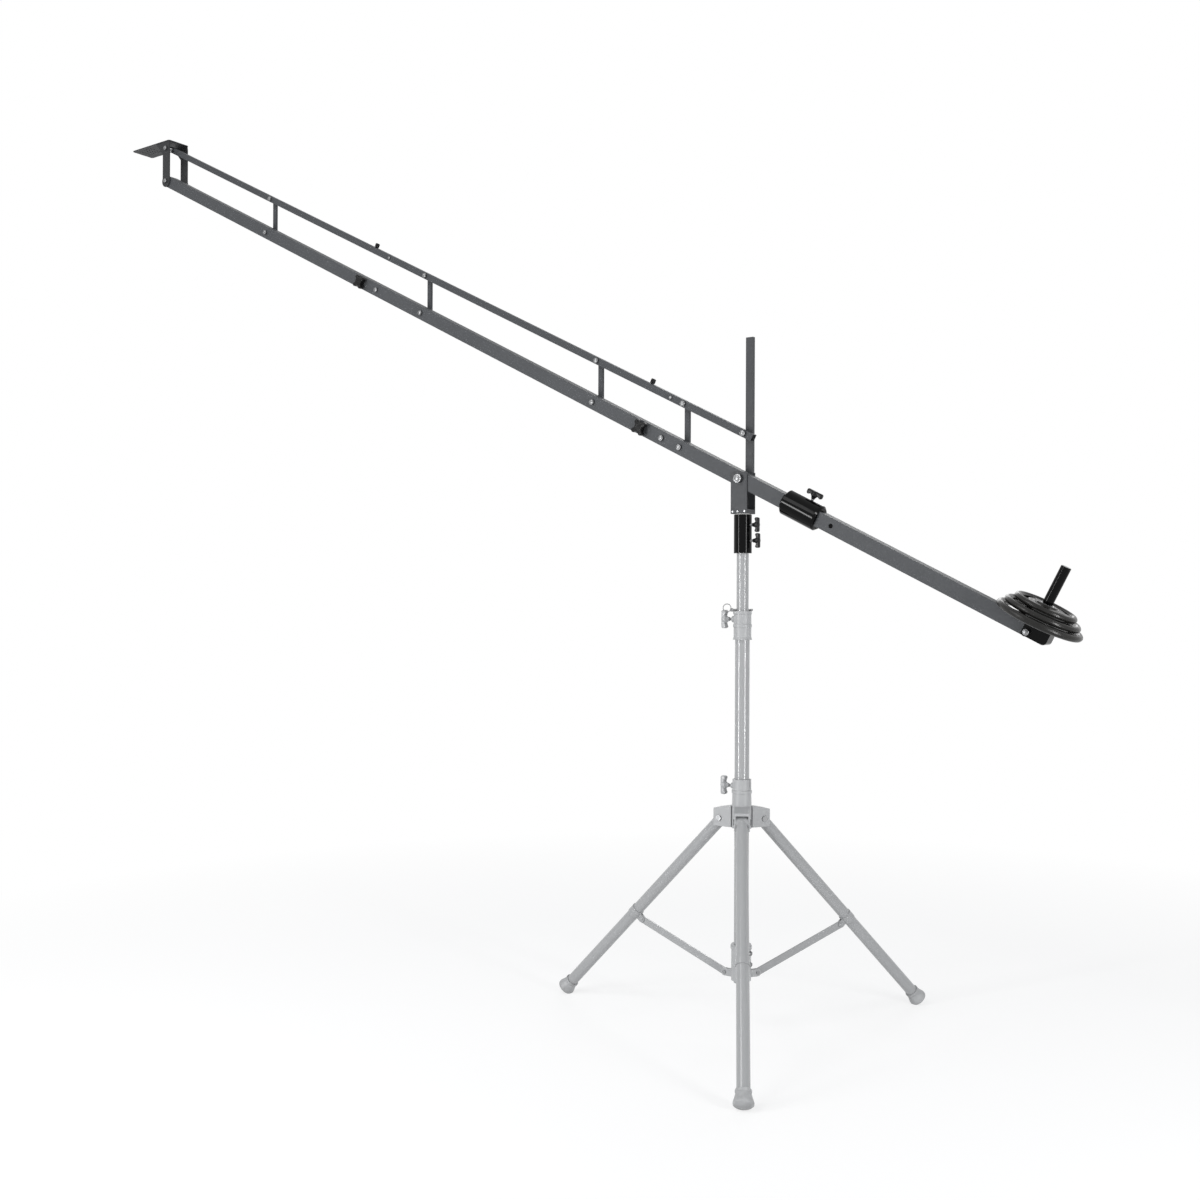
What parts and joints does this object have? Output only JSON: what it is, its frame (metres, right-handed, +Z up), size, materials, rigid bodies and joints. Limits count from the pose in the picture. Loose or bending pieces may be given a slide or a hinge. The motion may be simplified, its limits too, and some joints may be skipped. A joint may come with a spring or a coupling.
{
  "type": "camera jib crane",
  "caption": "Counterweighted parallelogram camera jib on a folding tripod stand, with a level perforated camera platform and plate weights.",
  "frame": {"origin": "centre of the ring of three feet on the floor, on the stand's axis", "axes": "+Z up along the stand's axis; +X towards the weights; -Y the side with the splice knobs"},
  "size_m": [3.6323, 1.072, 2.9246],
  "materials": {
    "ghost_silver": "pale silver-grey satin",
    "ghost_casting": "pale grey satin paint",
    "ghost_rubber": "pale grey rubber",
    "boom_grey": "charcoal powder coat, satin",
    "rod_grey": "charcoal powder coat, satin",
    "head_grey": "dark grey powder coat, satin",
    "socket_black": "gloss black enamel",
    "weight_black": "gloss black enamel",
    "knob_black": "black moulded plastic",
    "knob_pale": "pale grey moulded plastic",
    "bolt_silver": "bright zinc plated steel",
    "bare_alloy": "mill finish aluminium",
    "washer_nylon": "natural nylon",
    "plug_black": "black plastic",
    "plate_iron": "cast iron with a black rubber coat",
    "holder_black": "black enamel",
    "deck_grey": "dark grey powder coat"
  },
  "bodies": {
    "stand_hub": {"leg_hub": "ghost_casting", "hub_pins": "bolt_silver"},
    "hub_knob": {"hub_knob": "knob_pale"},
    "column": {"column_tube": "ghost_silver", "column_bracket": "ghost_casting", "bracket_bolts": "bolt_silver", "column_collar": "ghost_casting"},
    "collar_knob": {"collar_knob": "knob_pale"},
    "riser": {"riser_tube": "ghost_silver", "stand_socket": "socket_black", "swivel_washer": "washer_nylon"},
    "lock_pin": {"lock_pin": "bolt_silver"},
    "socket_knob_upper": {"socket_knob_upper": "knob_black"},
    "socket_knob_lower": {"socket_knob_lower": "knob_black"},
    "head": {"swivel_bolt": "bolt_silver", "fork": "head_grey", "fork_base": "head_grey", "fork_screws": "bolt_silver", "post": "head_grey", "pivot_bolts": "bolt_silver", "pivot_washers": "washer_nylon"},
    "boom": {"boom_front": "boom_grey", "boom_middle": "boom_grey", "boom_rear": "boom_grey", "boom_splices": "bare_alloy", "boom_bolts": "bolt_silver", "boom_plug": "plug_black", "weight_holder": "holder_black", "holder_bolts": "bolt_silver", "weight_pin": "holder_black"},
    "splice_knob_front": {"splice_knob_front": "knob_black"},
    "splice_knob_rear": {"splice_knob_rear": "knob_black"},
    "rod": {"rod_front": "rod_grey", "rod_middle": "rod_grey", "rod_rear": "rod_grey", "rod_splices": "bare_alloy", "rod_bolts": "bolt_silver"},
    "rod_screw_front": {"rod_screw_front": "knob_black"},
    "rod_screw_rear": {"rod_screw_rear": "knob_black"},
    "platform": {"camera_platform": "deck_grey", "platform_bolts": "bolt_silver", "platform_spacers": "bare_alloy"},
    "plates": {"plate_large": "plate_iron", "plate_medium": "plate_iron", "plate_small": "plate_iron"},
    "trim_weight": {"counterweight": "weight_black"},
    "trim_knob": {"counterweight_knob": "knob_black"},
    "leg_1": {"leg_1": "ghost_silver", "foot_1": "ghost_rubber"},
    "brace_1": {"brace_1": "ghost_silver"},
    "leg_2": {"leg_2": "ghost_silver", "foot_2": "ghost_rubber"},
    "brace_2": {"brace_2": "ghost_silver"},
    "leg_3": {"leg_3": "ghost_silver", "foot_3": "ghost_rubber"},
    "brace_3": {"brace_3": "ghost_silver"},
    "strut_1": {"strut_1": "rod_grey"},
    "strut_2": {"strut_2": "rod_grey"},
    "strut_3": {"strut_3": "rod_grey"},
    "strut_4": {"strut_4": "rod_grey"}
  },
  "joints": [
    {"name": "column_drop", "type": "slide", "parent": "stand_hub", "child": "column", "axis": [0, 0, -1], "range_m": [0, 0.2828]},
    {"name": "leg_1_fold", "type": "hinge", "parent": "stand_hub", "child": "leg_1", "pos_m": [0.0303, -0.05179, 0.573], "axis": [0.8631, 0.505, 0], "range_deg": [0, 37.83]},
    {"name": "brace_1_fold", "type": "hinge", "parent": "leg_1", "child": "brace_1", "pos_m": [0.16381, -0.27998, 0.25569], "axis": [-0.8631, -0.505, 0], "range_deg": [0, 102.04]},
    {"name": "leg_2_fold", "type": "hinge", "parent": "stand_hub", "child": "leg_2", "pos_m": [0.0297, 0.05213, 0.573], "axis": [-0.8689, 0.495, 0], "range_deg": [0, 37.83]},
    {"name": "brace_2_fold", "type": "hinge", "parent": "leg_2", "child": "brace_2", "pos_m": [0.16057, 0.28185, 0.25569], "axis": [0.8689, -0.495, 0], "range_deg": [0, 102.04]},
    {"name": "leg_3_fold", "type": "hinge", "parent": "stand_hub", "child": "leg_3", "pos_m": [-0.06, -0.00035, 0.573], "axis": [0.0058, -1, 0], "range_deg": [0, 37.83]},
    {"name": "brace_3_fold", "type": "hinge", "parent": "leg_3", "child": "brace_3", "pos_m": [-0.32437, -0.00187, 0.25569], "axis": [-0.0058, 1, 0], "range_deg": [0, 102.04]},
    {"name": "riser_lift", "type": "slide", "parent": "column", "child": "riser", "axis": [0, 0, 1], "range_m": [0, 0.35]},
    {"name": "hub_knob_turn", "type": "hinge", "parent": "stand_hub", "child": "hub_knob", "pos_m": [-0.04, 0, 0.662], "axis": [-1, 0, 0], "continuous": true},
    {"name": "collar_knob_turn", "type": "hinge", "parent": "column", "child": "collar_knob", "pos_m": [-0.04, 0, 1.118], "axis": [-1, 0, 0], "continuous": true},
    {"name": "lock_pin_pull", "type": "slide", "parent": "riser", "child": "lock_pin", "axis": [-0.7071, -0.7071, 0], "range_m": [0, 0.06]},
    {"name": "socket_knob_upper_turn", "type": "hinge", "parent": "riser", "child": "socket_knob_upper", "pos_m": [0.04, 0, 1.3747], "axis": [1, 0, 0], "continuous": true},
    {"name": "socket_knob_lower_turn", "type": "hinge", "parent": "riser", "child": "socket_knob_lower", "pos_m": [0.04, 0, 1.3317], "axis": [1, 0, 0], "continuous": true},
    {"name": "pan", "type": "hinge", "parent": "riser", "child": "head", "pos_m": [0, 0, 1.405], "axis": [0, 0, 1], "continuous": true},
    {"name": "tilt", "type": "hinge", "parent": "head", "child": "boom", "pos_m": [0, 0, 1.5], "axis": [0, 1, 0], "range_deg": [-54, 23]},
    {"name": "rod_pivot", "type": "hinge", "parent": "head", "child": "rod", "pos_m": [0, 0, 1.625], "axis": [0, 1, 0], "range_deg": [-54, 23]},
    {"name": "strut_1_pivot", "type": "hinge", "parent": "boom", "child": "strut_1", "pos_m": [-1.94618, 0, 2.48223], "axis": [0, 1, 0], "range_deg": [-23, 54]},
    {"name": "strut_2_pivot", "type": "hinge", "parent": "boom", "child": "strut_2", "pos_m": [-1.18735, 0, 2.09925], "axis": [0, 1, 0], "range_deg": [-23, 54]},
    {"name": "strut_3_pivot", "type": "hinge", "parent": "boom", "child": "strut_3", "pos_m": [-0.49637, 0, 1.75052], "axis": [0, 1, 0], "range_deg": [-23, 54]},
    {"name": "strut_4_pivot", "type": "hinge", "parent": "boom", "child": "strut_4", "pos_m": [-0.19373, 0, 1.59777], "axis": [0, 1, 0], "range_deg": [-23, 54]},
    {"name": "platform_level", "type": "hinge", "parent": "boom", "child": "platform", "pos_m": [-2.51754, 0, 2.7706], "axis": [0, 1, 0], "range_deg": [-23, 54]},
    {"name": "trim_slide", "type": "slide", "parent": "boom", "child": "trim_weight", "axis": [0.8927, 0, -0.4506], "range_m": [-0.02, 0.49]},
    {"name": "trim_knob_turn", "type": "hinge", "parent": "trim_weight", "child": "trim_knob", "pos_m": [0.21125, 0, 1.43819], "axis": [0.4506, 0, 0.8927], "continuous": true},
    {"name": "plates_lift", "type": "slide", "parent": "boom", "child": "plates", "axis": [0.4506, 0, 0.8927], "range_m": [0, 0.2]},
    {"name": "splice_knob_front_turn", "type": "hinge", "parent": "boom", "child": "splice_knob_front", "pos_m": [-1.45606, -0.03, 2.23487], "axis": [0, -1, 0], "continuous": true},
    {"name": "splice_knob_rear_turn", "type": "hinge", "parent": "boom", "child": "splice_knob_rear", "pos_m": [-0.32049, -0.03, 1.66175], "axis": [0, -1, 0], "continuous": true},
    {"name": "rod_screw_front_turn", "type": "hinge", "parent": "rod", "child": "rod_screw_front", "pos_m": [-1.41942, 0.01, 2.35258], "axis": [0.4506, 0, 0.8927], "continuous": true},
    {"name": "rod_screw_rear_turn", "type": "hinge", "parent": "rod", "child": "rod_screw_rear", "pos_m": [-0.30617, 0.01, 1.79072], "axis": [0.4506, 0, 0.8927], "continuous": true}
  ],
  "couplings": [
    {"joint": "leg_1_fold", "follows": "column_drop", "rad_per_m": 2.3345},
    {"joint": "brace_1_fold", "follows": "column_drop", "rad_per_m": 6.2971},
    {"joint": "leg_2_fold", "follows": "column_drop", "rad_per_m": 2.3345},
    {"joint": "brace_2_fold", "follows": "column_drop", "rad_per_m": 6.2971},
    {"joint": "leg_3_fold", "follows": "column_drop", "rad_per_m": 2.3345},
    {"joint": "brace_3_fold", "follows": "column_drop", "rad_per_m": 6.2971},
    {"joint": "rod_pivot", "follows": "tilt", "ratio": 1},
    {"joint": "strut_1_pivot", "follows": "tilt", "ratio": -1},
    {"joint": "strut_2_pivot", "follows": "tilt", "ratio": -1},
    {"joint": "strut_3_pivot", "follows": "tilt", "ratio": -1},
    {"joint": "strut_4_pivot", "follows": "tilt", "ratio": -1},
    {"joint": "platform_level", "follows": "tilt", "ratio": -1}
  ]
}
